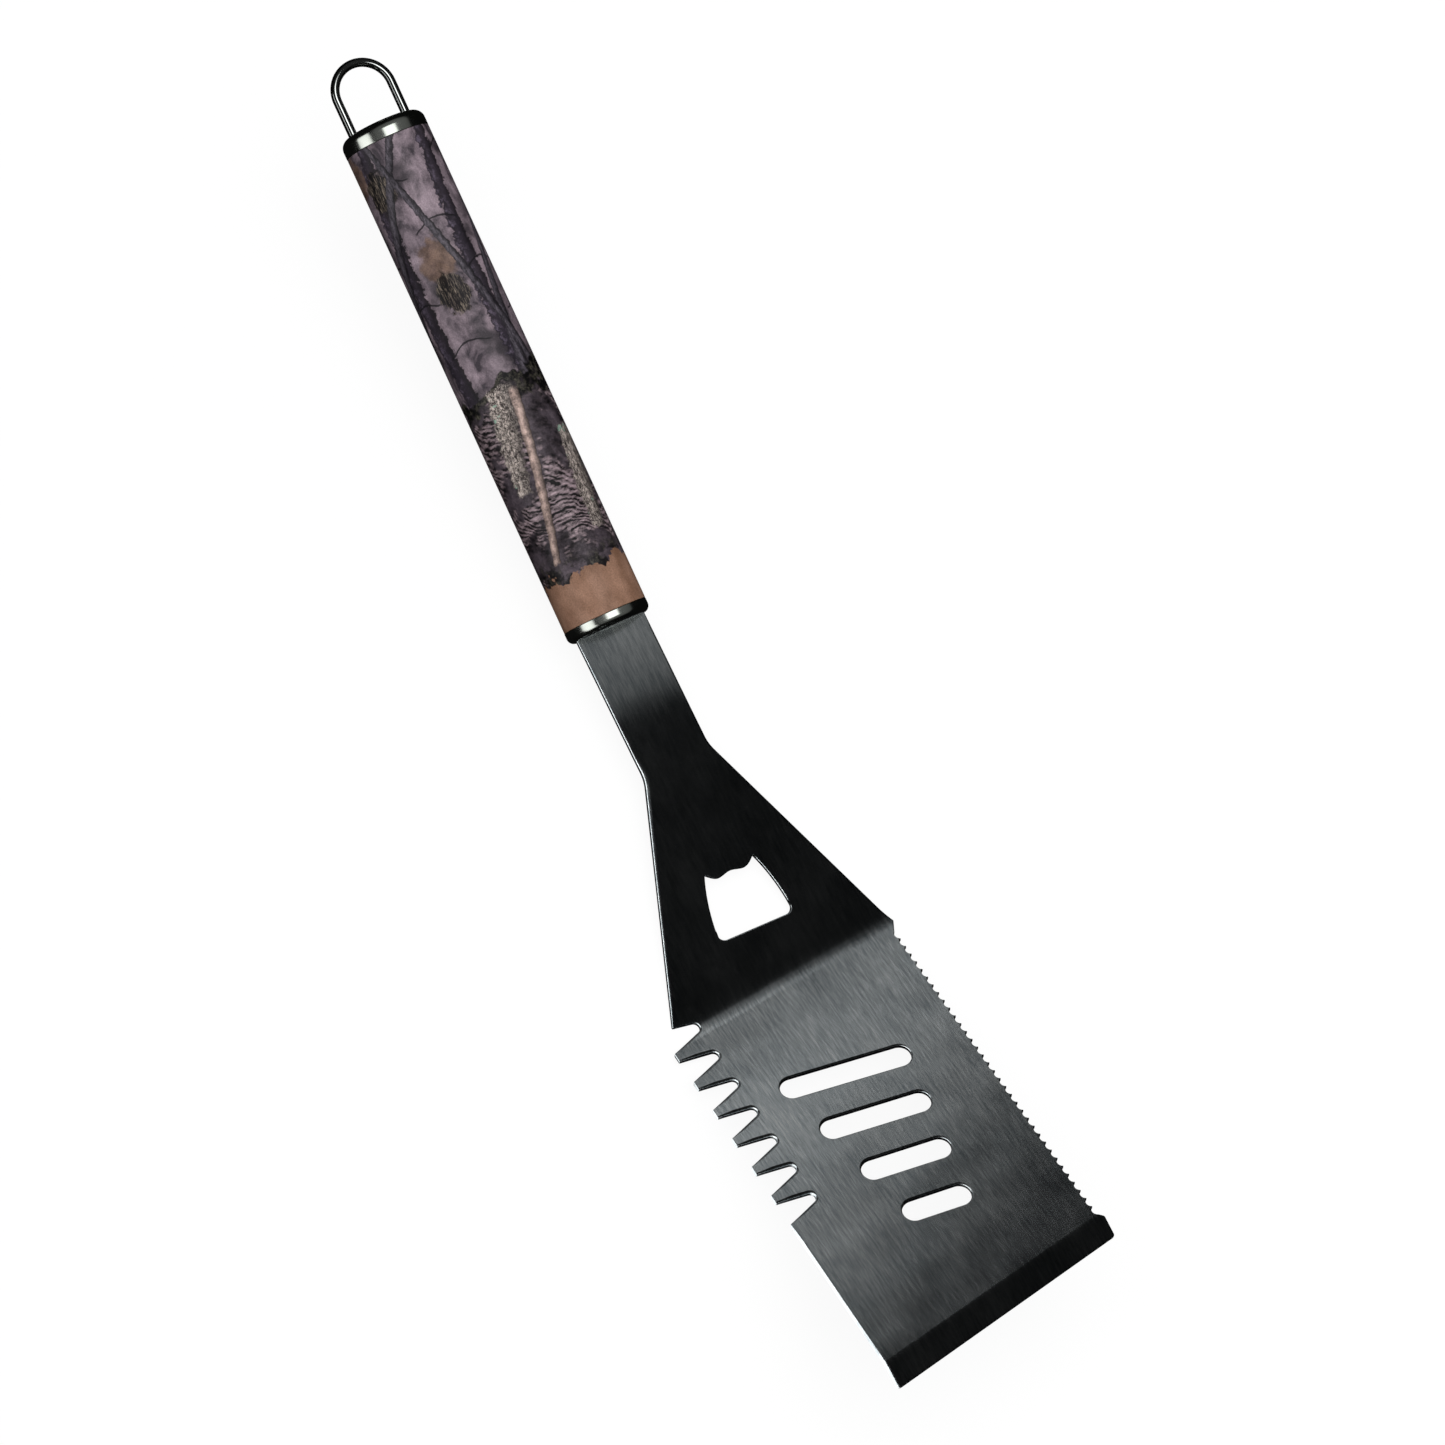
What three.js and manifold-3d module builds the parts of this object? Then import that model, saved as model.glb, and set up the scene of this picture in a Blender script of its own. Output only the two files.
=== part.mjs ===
// Grill spatula: one bent stainless stamping whose tang is clamped in a moulded core,
// inside a steel tube handle with a printed sleeve, two end caps and a wire hanging loop.
// Millimetres and degrees. In the handle's own frame +X runs from the front cap to the tip,
// +Y towards the serrated edge and +Z up from the food side. The flat pattern of the stamping
// uses the same X (s) and Y (t), and each bend is then folded in turn.
import * as THREE from 'three';
import { mergeVertices } from 'three/addons/utils/BufferGeometryUtils.js';
import Module from 'manifold-3d';

const wasm = await Module();
wasm.setup();

// ---- Driving dimensions -------------------------------------------------------------
const CLEARANCE = 0.3;          // gap kept between neighbouring pieces

// Stamping, flat pattern
const SHEET = 1.8;              // sheet thickness
const NECK_WIDTH = 24.4;
const NECK_END_LEFT = 48.3;     // where the neck starts to flare, teeth side
const NECK_END_RIGHT = 45.9;    // and serrated side
const FLARE_FILLET = 14;
const FLARE_LEFT = 20.4;        // flare angles from the neck's edges
const FLARE_RIGHT = 21.1;
const BLADE_LEFT = -43.5;       // the blade's long edges
const BLADE_RIGHT = 41.3;
const TIP_AT = 258;             // tip edge on the centre line
const TIP_SKEW = 8.5;           // the tip edge's turn from square, left corner furthest out
const TIP_CORNER = 1.2;
const EDGE_STEPS = 6;           // facets on each rounded corner of an outline

// Tang
const TANG_WIDTH = 14;
const TANG_END = -104;
const TANG_SHOULDER = -0.8;
const TANG_CORNER = 2;
const RIVET_STATIONS = [-32, -86];

// Bends, in order from the handle: place on the centre line, turn from square, angle, radius
const BENDS = [
  { at: -3.5, skew: 0, angle: 4.35, radius: 30 },
  { at: 122.4, skew: 4.4, angle: 25.9, radius: 20 },
  { at: 250.2, skew: 8.2, angle: -20, radius: 6 },
];
const BEND_FACETS = 6;
const HEEL_AT = 30;             // the bend's underside touches the floor this far off centre

// Tenderising teeth on the left edge
const TOOTH_COUNT = 6;
const TOOTH_FIRST = 130.4;      // upper corner of the first tooth's tip
const TOOTH_PITCH = 11.7;
const TOOTH_TIP = 3;            // width of each blunt tip
const NOTCH_APEX_BACK = 5.54;   // virtual apex of a notch, behind the tooth's tip corner
const NOTCH_APEX_DEPTH = 17.1;
const NOTCH_RADIUS = 1.75;

// Serrations on the right edge
const SERRATION_COUNT = 36;
const SERRATION_FIRST = 124.9;
const SERRATION_PITCH = 3.3;
const SERRATION_INSET = 1.5;    // tips sit this far inside the blade's edge
const SERRATION_DEPTH = 1.1;
const SERRATION_SHOULDER = 244.9;
const SERRATION_SHOULDER_RADIUS = 0.8;
const SERRATION_FACETS = 4;

// Drain slots
const SLOT_COUNT = 4;
const SLOT_FIRST = 162;
const SLOT_PITCH = 17.95;
const SLOT_OFFSET = -0.65;
const SLOT_LENGTH = 43;
const SLOT_SHRINK = 6.85;       // each slot is this much shorter than the one before
const SLOT_WIDTH = 7.6;
const SLOT_SLANT = 10.4;
const SLOT_FAN = 0.6;           // and is turned this much less
const SLOT_FACETS = 8;          // on each rounded end

// Bottle opener
const OPENER_EAR = { s: 83.5, t: 8.7 };
const OPENER_TAB = { s: 85.9, t: 5 };
const OPENER_LIP = 85.1;        // crest of the lip on the centre line
const OPENER_SIDE = { s: 93, t: 12.6 };
const OPENER_BASE = { s: 104.7, t: 13.3 };
const OPENER_CENTRE = 0.4;
const OPENER_SKEW = 3;
const OPENER_CORNER = 2.4;
const OPENER_LIP_FACETS = 16;
const OPENER_SIDE_FACETS = 6;

// Handle
const HANDLE_LENGTH = 174;      // over both caps
const HANDLE_RADIUS = 14;
const FRONT_BAND = 4.2;         // visible length of the front cap
const REAR_BAND = 6;
const CAP_FACE = 1;
const CAP_DEPTH = 12;           // band and skirt together
const RIM_FACETS = 6;
const NECK_SLOT_DEPTH = 4;      // the slot's cutter, centred near the cap's face
const NECK_SLOT_EASE = 0.2;     // the slot is taller for the neck's tilt
const FRONT_RIM = 2.3;
const REAR_RIM = 3.3;
const SLEEVE_WALL = 0.35;
const TUBE_WALL = 0.6;
const SKIRT_WALL = 0.7;
const CORE_LENGTH = 100;
const PLUG_LENGTH = 15.5;
const ROUND = 48;               // sides of the handle's round pieces

// Hanging loop
const WIRE = 2.9;
const LOOP_SPACING = 19.1;
const LOOP_REACH = 21.2;        // from the rear cap to the wire's centre line at the top
const LOOP_LEG_INSIDE = 12;
const WIRE_SIDES = 12;
const WIRE_STEPS = 36;
const QUARTER_BOW = 0.5523;     // Bezier handle of a quarter circle of radius 1

// Tang rivets
const RIVET_RADIUS = 2;
const RIVET_HEAD = 3.5;
const RIVET_HEAD_HEIGHT = 1;
const RIVET_SEAT = 9;           // height of the head's seat above the handle's axis
const RIVET_SIDES = 20;
const BORE_SIDES = 24;

// ---- Derived sizes ------------------------------------------------------------------
const TUBE_OUTER = HANDLE_RADIUS - SLEEVE_WALL - CLEARANCE;
const TUBE_INNER = TUBE_OUTER - TUBE_WALL;
const SKIRT_OUTER = TUBE_INNER - CLEARANCE;
const SKIRT_INNER = SKIRT_OUTER - SKIRT_WALL;
const TUBE_FRONT = -(FRONT_BAND + CLEARANCE);
const TUBE_LENGTH = HANDLE_LENGTH - FRONT_BAND - REAR_BAND - 2 * CLEARANCE;
const PLUG_RADIUS = SKIRT_INNER - CLEARANCE;

// Cutting bodies only need to be bigger than what they cut.
const CUT_MARGIN = 1;
const SLAB_HALF_WIDTH = 60;
const SLAB_TAIL = 5;
const SLAB_NOSE = 8;
const PRISM = { low: -50, depth: 160 };

const radians = THREE.MathUtils.degToRad;

// ---- Materials ----------------------------------------------------------------------
function finish(color, roughness, metalness) {
  return new THREE.MeshStandardMaterial({ color, roughness, metalness });
}
const brushedSteel = finish(0x8b9093, 0.32, 1);
const polishedSteel = finish(0xb9bcbc, 0.08, 1);
const printedFilm = finish(0x6b5c52, 0.45, 0);
const tubeSteel = finish(0x9a9d9e, 0.4, 1);
const mouldedCore = finish(0x2a2b2c, 0.6, 0);

// ---- Helpers ------------------------------------------------------------------------
function toSolid(geometry) {
  const bare = geometry.clone();
  bare.deleteAttribute('normal');
  bare.deleteAttribute('uv');
  const merged = mergeVertices(bare);
  const mesh = new wasm.Mesh({
    numProp: 3,
    vertProperties: new Float32Array(merged.attributes.position.array),
    triVerts: new Uint32Array(merged.index.array),
  });
  return new wasm.Manifold(mesh);
}

function toGeometry(solid) {
  const mesh = solid.getMesh();
  const places = new Float32Array(mesh.vertProperties);
  const geometry = new THREE.BufferGeometry();
  geometry.setAttribute('position', new THREE.BufferAttribute(places, 3));
  geometry.setIndex(new THREE.BufferAttribute(new Uint32Array(mesh.triVerts), 1));
  geometry.computeVertexNormals();
  return geometry;
}

function named(name, geometry, material) {
  const mesh = new THREE.Mesh(geometry, material);
  mesh.name = name;
  return mesh;
}

// A closed chain of corners {s, t, r}; every corner with a radius r is rounded by a tangent arc.
function roundedLoop(corners) {
  const points = [];
  corners.forEach((corner, i) => {
    const here = new THREE.Vector2(corner.s, corner.t);
    if (!corner.r) {
      points.push(here);
      return;
    }
    const before = corners[(i + corners.length - 1) % corners.length];
    const after = corners[(i + 1) % corners.length];
    const back = new THREE.Vector2(before.s, before.t).sub(here).normalize();
    const ahead = new THREE.Vector2(after.s, after.t).sub(here).normalize();
    const half = Math.acos(THREE.MathUtils.clamp(back.dot(ahead), -1, 1)) / 2;
    const reach = corner.r / Math.tan(half);
    const inward = back.clone().add(ahead).normalize();
    const centre = here.clone().addScaledVector(inward, corner.r / Math.sin(half));
    const first = here.clone().addScaledVector(back, reach).sub(centre);
    const last = here.clone().addScaledVector(ahead, reach).sub(centre);
    const sweep = Math.atan2(first.cross(last), first.dot(last));
    for (let k = 0; k <= EDGE_STEPS; k += 1) {
      const turn = (sweep * k) / EDGE_STEPS;
      points.push(first.clone().rotateAround(new THREE.Vector2(), turn).add(centre));
    }
  });
  return points;
}

// Body of revolution about the X axis; the profile lists [radius, x] pairs.
function turned(profile) {
  const geometry = new THREE.LatheGeometry(profile.map(([r, x]) => new THREE.Vector2(r, -x)), ROUND);
  geometry.rotateZ(Math.PI / 2);
  return geometry;
}

// Cylinder along the Y axis.
function roundBar(radius, from, to) {
  const geometry = new THREE.CylinderGeometry(radius, radius, to - from, BORE_SIDES);
  geometry.translate(0, (from + to) / 2, 0);
  return geometry;
}

// ---- Stamping -----------------------------------------------------------------------
// Carries a point of the flat pattern over one bend. A bend's centre line passes through
// (at, 0) and is turned by skew from the Y axis; its arc lies half on each side of that line.
function overBend(point, bend) {
  const turn = radians(bend.skew);
  const angle = Math.abs(radians(bend.angle));
  const side = Math.sign(bend.angle);
  const start = (-bend.radius * angle) / 2;
  const across = (point.x - bend.at) * Math.cos(turn) + point.y * Math.sin(turn);
  const along = -(point.x - bend.at) * Math.sin(turn) + point.y * Math.cos(turn);
  const run = across - start;
  if (run <= 0) return point;
  const swept = Math.min(run / bend.radius, angle);
  const beyond = Math.max(run - bend.radius * angle, 0);
  const lever = bend.radius - side * point.z;
  const ahead = start + lever * Math.sin(swept) + beyond * Math.cos(angle);
  const up = bend.radius - lever * Math.cos(swept) + beyond * Math.sin(angle);
  return new THREE.Vector3(
    bend.at + ahead * Math.cos(turn) - along * Math.sin(turn),
    ahead * Math.sin(turn) + along * Math.cos(turn),
    side * up,
  );
}

// Flat pattern to the handle's frame: the outermost bend is folded first.
function folded(s, t, z = 0) {
  return [...BENDS].reverse().reduce(overBend, new THREE.Vector3(s, t, z));
}

// Slab of the sheet's thickness that follows every bend and is wider than the stamping.
function bentSlab() {
  const lines = [{ at: TANG_END - SLAB_TAIL, skew: 0 }];
  for (const bend of BENDS) {
    const arc = bend.radius * Math.abs(radians(bend.angle));
    for (let k = 0; k <= BEND_FACETS; k += 1) {
      const offset = arc * (k / BEND_FACETS - 0.5);
      lines.push({ at: bend.at + offset / Math.cos(radians(bend.skew)), skew: bend.skew });
    }
  }
  lines.push({ at: TIP_AT + SLAB_NOSE, skew: TIP_SKEW });

  const corners = [];
  for (const line of lines) {
    const drift = SLAB_HALF_WIDTH * Math.tan(radians(line.skew));
    for (const [t, z] of [[-1, 1], [1, 1], [1, -1], [-1, -1]]) {
      const corner = folded(line.at - t * drift, t * SLAB_HALF_WIDTH, (z * SHEET) / 2);
      corners.push(...corner.toArray());
    }
  }
  const index = [];
  const quad = (a, b, c, d) => index.push(a, b, c, a, c, d);
  quad(0, 1, 2, 3);
  for (let i = 0; i < lines.length - 1; i += 1) {
    for (let k = 0; k < 4; k += 1) {
      const here = 4 * i;
      const next = (k + 1) % 4;
      quad(here + k, here + 4 + k, here + 4 + next, here + next);
    }
  }
  const end = 4 * (lines.length - 1);
  quad(end + 3, end + 2, end + 1, end);

  const geometry = new THREE.BufferGeometry();
  geometry.setAttribute('position', new THREE.Float32BufferAttribute(corners, 3));
  geometry.setIndex(index);
  return geometry;
}

function toothedEdge() {
  const flare = Math.tan(radians(FLARE_LEFT));
  const corners = [];
  for (let i = 0; i <= TOOTH_COUNT; i += 1) {
    const tip = TOOTH_FIRST + i * TOOTH_PITCH;
    const apex = { s: tip - NOTCH_APEX_BACK, t: BLADE_LEFT + NOTCH_APEX_DEPTH, r: NOTCH_RADIUS };
    const mouth = { s: tip - TOOTH_PITCH + TOOTH_TIP, t: BLADE_LEFT };
    if (i === 0) {
      // The first notch opens in the flared edge: slide its corner down the flank to that edge.
      const slope = (apex.s - mouth.s) / NOTCH_APEX_DEPTH;
      const gap = -NECK_WIDTH / 2 - (mouth.s - NECK_END_LEFT) * flare - BLADE_LEFT;
      const rise = gap / (1 + slope * flare);
      mouth.s += rise * slope;
      mouth.t += rise;
    }
    corners.push(mouth, apex, { s: tip, t: BLADE_LEFT });
  }
  return corners;
}

function serratedEdge() {
  const half = SERRATION_PITCH / 2;
  const radius = (half * half + SERRATION_DEPTH * SERRATION_DEPTH) / (2 * SERRATION_DEPTH);
  const opening = Math.asin(half / radius);
  const corners = [];
  for (let i = SERRATION_COUNT - 1; i >= 0; i -= 1) {
    const middle = SERRATION_FIRST + (i + 0.5) * SERRATION_PITCH;
    const centre = BLADE_RIGHT - SERRATION_INSET - SERRATION_DEPTH + radius;
    for (let k = 0; k < SERRATION_FACETS; k += 1) {
      const angle = opening * (1 - (2 * k) / SERRATION_FACETS);
      corners.push({ s: middle + radius * Math.sin(angle), t: centre - radius * Math.cos(angle) });
    }
  }
  return corners;
}

function outline() {
  const half = NECK_WIDTH / 2;
  const tang = TANG_WIDTH / 2;
  const skew = Math.tan(radians(TIP_SKEW));
  const flareRun = (BLADE_RIGHT - half) / Math.tan(radians(FLARE_RIGHT));
  return roundedLoop([
    { s: TANG_END, t: -tang, r: TANG_CORNER },
    { s: TANG_SHOULDER, t: -tang },
    { s: TANG_SHOULDER, t: -half },
    { s: NECK_END_LEFT, t: -half, r: FLARE_FILLET },
    ...toothedEdge(),
    { s: TIP_AT - BLADE_LEFT * skew, t: BLADE_LEFT, r: TIP_CORNER },
    { s: TIP_AT - BLADE_RIGHT * skew, t: BLADE_RIGHT, r: TIP_CORNER },
    { s: SERRATION_SHOULDER, t: BLADE_RIGHT, r: SERRATION_SHOULDER_RADIUS },
    ...serratedEdge(),
    { s: NECK_END_RIGHT + flareRun, t: BLADE_RIGHT },
    { s: NECK_END_RIGHT, t: half, r: FLARE_FILLET },
    { s: TANG_SHOULDER, t: half },
    { s: TANG_SHOULDER, t: tang },
    { s: TANG_END, t: tang, r: TANG_CORNER },
  ]);
}

function drainSlot(i) {
  const slant = radians(SLOT_SLANT - i * SLOT_FAN);
  const run = (SLOT_LENGTH - i * SLOT_SHRINK - SLOT_WIDTH) / 2;
  const centre = new THREE.Vector2(SLOT_FIRST + i * SLOT_PITCH, SLOT_OFFSET);
  const slot = new THREE.Path();
  slot.absarc(0, run, SLOT_WIDTH / 2, 0, Math.PI);
  slot.absarc(0, -run, SLOT_WIDTH / 2, Math.PI, 2 * Math.PI);
  const placed = (p) => p.rotateAround(new THREE.Vector2(), -slant).add(centre);
  return slot.getPoints(SLOT_FACETS).map(placed);
}

function bottleOpener() {
  const right = (p) => new THREE.Vector2(p.s, p.t);
  const left = (p) => new THREE.Vector2(p.s, -p.t);
  const crest = new THREE.Vector2(OPENER_LIP, 0);
  const lip = new THREE.SplineCurve([
    left(OPENER_EAR), left(OPENER_TAB), crest, right(OPENER_TAB), right(OPENER_EAR),
  ]).getPoints(OPENER_LIP_FACETS);
  const flank = [OPENER_EAR, OPENER_SIDE, OPENER_BASE].map(right);
  const side = new THREE.QuadraticBezierCurve(...flank).getPoints(OPENER_SIDE_FACETS).slice(1, -1);
  const otherSide = side.map((p) => new THREE.Vector2(p.x, -p.y)).reverse();
  const sharp = (p) => ({ s: p.x, t: p.y });
  const loop = [
    ...lip.map(sharp),
    ...side.map(sharp),
    { s: OPENER_BASE.s, t: OPENER_BASE.t, r: OPENER_CORNER },
    { s: OPENER_BASE.s, t: -OPENER_BASE.t, r: OPENER_CORNER },
    ...otherSide.map(sharp),
  ];
  const pivot = new THREE.Vector2(OPENER_TAB.s, 0);
  const shift = new THREE.Vector2(0, OPENER_CENTRE);
  const skewed = (p) => p.rotateAround(pivot, -radians(OPENER_SKEW) / 2).add(shift);
  return roundedLoop(loop).map(skewed);
}

function rivetHole(station) {
  const hole = new THREE.Path();
  hole.absarc(station, 0, RIVET_RADIUS + CLEARANCE, 0, 2 * Math.PI);
  return hole.getPoints(SLOT_FACETS).slice(1);
}

function spatulaBlade() {
  const inPlan = (loop) => loop.map((p) => {
    const place = folded(p.x, p.y);
    return new THREE.Vector2(place.x, place.y);
  });
  const plan = new THREE.Shape(inPlan(outline()));
  const holes = [bottleOpener(), ...RIVET_STATIONS.map(rivetHole)];
  for (let i = 0; i < SLOT_COUNT; i += 1) holes.push(drainSlot(i));
  plan.holes = holes.map((loop) => new THREE.Path(inPlan(loop)));
  const prism = new THREE.ExtrudeGeometry(plan, { depth: PRISM.depth, bevelEnabled: false });
  prism.translate(0, 0, PRISM.low);
  const solid = toSolid(bentSlab()).intersect(toSolid(prism));
  return named('spatula_blade', toGeometry(solid), brushedSteel);
}

// ---- Handle -------------------------------------------------------------------------
// Drawn cap, its face at x = 0 and its skirt towards -X.
function capSolid(rim, band) {
  const profile = [[0, 0]];
  for (let k = 0; k <= RIM_FACETS; k += 1) {
    const angle = (k / RIM_FACETS) * (Math.PI / 2);
    profile.push([HANDLE_RADIUS - rim + rim * Math.sin(angle), -rim + rim * Math.cos(angle)]);
  }
  profile.push([HANDLE_RADIUS, -band], [SKIRT_OUTER, -band], [SKIRT_OUTER, -CAP_DEPTH]);
  profile.push([SKIRT_INNER, -CAP_DEPTH], [SKIRT_INNER, -CAP_FACE], [0, -CAP_FACE]);
  return toSolid(turned(profile));
}

function frontCap() {
  const height = SHEET + 2 * CLEARANCE + NECK_SLOT_EASE;
  const slot = new THREE.BoxGeometry(NECK_SLOT_DEPTH, NECK_WIDTH + 2 * CLEARANCE, height);
  const solid = capSolid(FRONT_RIM, FRONT_BAND).subtract(toSolid(slot));
  return named('front_cap', toGeometry(solid), polishedSteel);
}

function rearCap() {
  let solid = capSolid(REAR_RIM, REAR_BAND);
  for (const side of [-1, 1]) {
    const hole = roundBar(WIRE / 2 + CLEARANCE, -REAR_RIM, REAR_RIM);
    hole.rotateZ(Math.PI / 2).translate(0, (side * LOOP_SPACING) / 2, 0);
    solid = solid.subtract(toSolid(hole));
  }
  const cap = named('rear_cap', toGeometry(solid), polishedSteel);
  cap.position.x = -HANDLE_LENGTH;
  cap.rotation.z = Math.PI;
  return cap;
}

function hollowTube(name, outer, wall, material) {
  const back = TUBE_FRONT - TUBE_LENGTH;
  const inner = outer - wall;
  const start = [inner, TUBE_FRONT];
  const section = [start, [outer, TUBE_FRONT], [outer, back], [inner, back], start];
  return named(name, turned(section), material);
}

function rearPlug() {
  const back = -HANDLE_LENGTH + CAP_FACE + CLEARANCE;
  const front = back + PLUG_LENGTH;
  const legEnd = -HANDLE_LENGTH + LOOP_LEG_INSIDE + CLEARANCE;
  let solid = toSolid(turned([[0, front], [PLUG_RADIUS, front], [PLUG_RADIUS, back], [0, back]]));
  for (const side of [-1, 1]) {
    const hole = roundBar(WIRE / 2 + CLEARANCE, -legEnd, -back + CUT_MARGIN);
    hole.rotateZ(Math.PI / 2).translate(0, (side * LOOP_SPACING) / 2, 0);
    solid = solid.subtract(toSolid(hole));
  }
  return named('rear_plug', toGeometry(solid), mouldedCore);
}

// Two straight legs through the rear cap, joined by a half circle.
function hangingLoop() {
  const radius = LOOP_SPACING / 2;
  const crown = -HANDLE_LENGTH - LOOP_REACH + radius;
  const path = new THREE.CurvePath();
  const point = (x, y) => new THREE.Vector3(x, y, 0);
  const legs = -HANDLE_LENGTH + LOOP_LEG_INSIDE;
  const bow = QUARTER_BOW * radius;
  const top = crown - radius;
  const firstQuarter = [point(crown - bow, -radius), point(top, -bow), point(top, 0)];
  const secondQuarter = [point(top, bow), point(crown - bow, radius), point(crown, radius)];
  path.add(new THREE.LineCurve3(point(legs, -radius), point(crown, -radius)));
  path.add(new THREE.CubicBezierCurve3(point(crown, -radius), ...firstQuarter));
  path.add(new THREE.CubicBezierCurve3(point(top, 0), ...secondQuarter));
  path.add(new THREE.LineCurve3(point(crown, radius), point(legs, radius)));
  const wire = new THREE.Shape();
  wire.absarc(0, 0, WIRE / 2, 0, 2 * Math.PI);
  const sweep = { steps: WIRE_STEPS, curveSegments: WIRE_SIDES / 2, extrudePath: path };
  const geometry = new THREE.ExtrudeGeometry(wire, { ...sweep, bevelEnabled: false });
  return named('hanging_loop', geometry, polishedSteel);
}

// Half of the moulded core above the tang; the lower half is the same piece turned over.
function coreHalf(name, flip) {
  const front = -(CAP_DEPTH + CLEARANCE);
  const split = Math.asin(CLEARANCE / 2 / SKIRT_OUTER);
  const half = new THREE.Shape();
  half.absarc(0, 0, SKIRT_OUTER, split, Math.PI - split);
  const sweep = { depth: CORE_LENGTH, curveSegments: ROUND / 2, bevelEnabled: false };
  const body = new THREE.ExtrudeGeometry(half, sweep);
  body.rotateX(Math.PI / 2).rotateZ(Math.PI / 2).translate(front - CORE_LENGTH, 0, 0);
  const mouth = front + CUT_MARGIN;
  const pocketEnd = TANG_END - CLEARANCE;
  const pocketWidth = TANG_WIDTH + 2 * CLEARANCE;
  const pocket = new THREE.BoxGeometry(mouth - pocketEnd, pocketWidth, SHEET + 2 * CLEARANCE);
  pocket.translate((mouth + pocketEnd) / 2, 0, 0);
  let solid = toSolid(body).subtract(toSolid(pocket));
  const outside = SKIRT_OUTER + CUT_MARGIN;
  for (const station of RIVET_STATIONS) {
    const bore = roundBar(RIVET_RADIUS + CLEARANCE, -CUT_MARGIN, outside);
    const seat = roundBar(RIVET_HEAD + CLEARANCE, RIVET_SEAT, outside);
    for (const tool of [bore, seat]) {
      tool.rotateX(Math.PI / 2).translate(station, 0, 0);
      solid = solid.subtract(toSolid(tool));
    }
  }
  const mesh = named(name, toGeometry(solid), mouldedCore);
  mesh.rotation.x = flip ? Math.PI : 0;
  return mesh;
}

function tangRivet(name, station) {
  const seat = RIVET_SEAT + CLEARANCE;
  const top = seat + RIVET_HEAD_HEIGHT;
  const profile = [
    [0, -top], [RIVET_HEAD, -top], [RIVET_HEAD, -seat], [RIVET_RADIUS, -seat],
    [RIVET_RADIUS, seat], [RIVET_HEAD, seat], [RIVET_HEAD, top], [0, top],
  ].map(([r, y]) => new THREE.Vector2(r, y));
  const mesh = named(name, new THREE.LatheGeometry(profile, RIVET_SIDES), tubeSteel);
  mesh.position.x = station;
  mesh.rotation.x = Math.PI / 2;
  return mesh;
}

// ---- Assembly -----------------------------------------------------------------------
const spatula = new THREE.Group();
spatula.add(
  spatulaBlade(),
  frontCap(),
  rearCap(),
  hollowTube('handle_tube', TUBE_OUTER, TUBE_WALL, tubeSteel),
  hollowTube('printed_sleeve', HANDLE_RADIUS, SLEEVE_WALL, printedFilm),
  rearPlug(),
  hangingLoop(),
  coreHalf('core_half_upper', false),
  coreHalf('core_half_lower', true),
  tangRivet('tang_rivet_front', RIVET_STATIONS[0]),
  tangRivet('tang_rivet_rear', RIVET_STATIONS[1]),
);

// At rest the spatula stands on the front cap's rim and on the underside of the blade's bend.
// The three contact points give the plane that becomes the surface it lies on.
const capFoot = new THREE.Vector3(-FRONT_RIM, 0, -HANDLE_RADIUS);
const heelDrift = Math.tan(radians(BENDS[1].skew));
const heel = (t) => folded(BENDS[1].at - t * heelDrift, t, -SHEET / 2).sub(capFoot);
const floorNormal = heel(-HEEL_AT).cross(heel(HEEL_AT)).normalize();
spatula.quaternion.setFromUnitVectors(floorNormal, new THREE.Vector3(0, 0, 1));

// The origin is the middle of the bounding box, on the floor.
const group = new THREE.Group();
group.add(spatula);
const box = new THREE.Box3().setFromObject(group, true);
const middle = box.getCenter(new THREE.Vector3());
spatula.position.set(-middle.x, -middle.y, -box.min.z);

export default group;
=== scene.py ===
"""Grill spatula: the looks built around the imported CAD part.

Shapes are drawn in the handle's own frame (+X from the front cap's face to the blade's tip,
+Y towards the serrated edge, +Z up from the food side) and carried to the part's frame by one
matrix, which is found from the CAD boxes. Lengths are in millimetres until a piece is placed.
"""
import math

import bmesh
import bpy
from mathutils import Matrix, Vector
from mathutils.geometry import delaunay_2d_cdt


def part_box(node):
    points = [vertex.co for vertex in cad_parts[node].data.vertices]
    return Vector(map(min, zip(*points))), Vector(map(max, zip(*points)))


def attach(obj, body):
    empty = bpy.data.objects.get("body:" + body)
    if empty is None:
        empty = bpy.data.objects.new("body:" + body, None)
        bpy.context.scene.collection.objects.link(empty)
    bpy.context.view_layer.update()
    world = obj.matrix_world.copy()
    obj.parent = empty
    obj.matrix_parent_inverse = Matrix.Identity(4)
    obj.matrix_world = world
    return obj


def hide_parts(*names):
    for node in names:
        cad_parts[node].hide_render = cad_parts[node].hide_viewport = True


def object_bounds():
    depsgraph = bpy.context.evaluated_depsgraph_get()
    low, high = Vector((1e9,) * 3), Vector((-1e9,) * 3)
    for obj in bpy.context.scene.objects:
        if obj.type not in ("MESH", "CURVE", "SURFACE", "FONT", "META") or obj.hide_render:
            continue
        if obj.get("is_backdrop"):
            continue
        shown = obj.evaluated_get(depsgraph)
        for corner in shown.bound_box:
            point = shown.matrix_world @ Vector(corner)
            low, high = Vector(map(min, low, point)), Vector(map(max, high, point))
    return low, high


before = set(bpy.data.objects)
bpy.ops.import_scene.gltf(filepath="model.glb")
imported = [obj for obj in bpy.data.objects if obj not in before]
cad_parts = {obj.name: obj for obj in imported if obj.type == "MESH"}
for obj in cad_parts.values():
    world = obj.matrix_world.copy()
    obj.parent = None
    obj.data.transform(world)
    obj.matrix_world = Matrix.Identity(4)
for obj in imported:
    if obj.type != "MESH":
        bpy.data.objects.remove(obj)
cad_low, cad_high = (list(corner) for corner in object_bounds())

MM = 0.001

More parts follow.
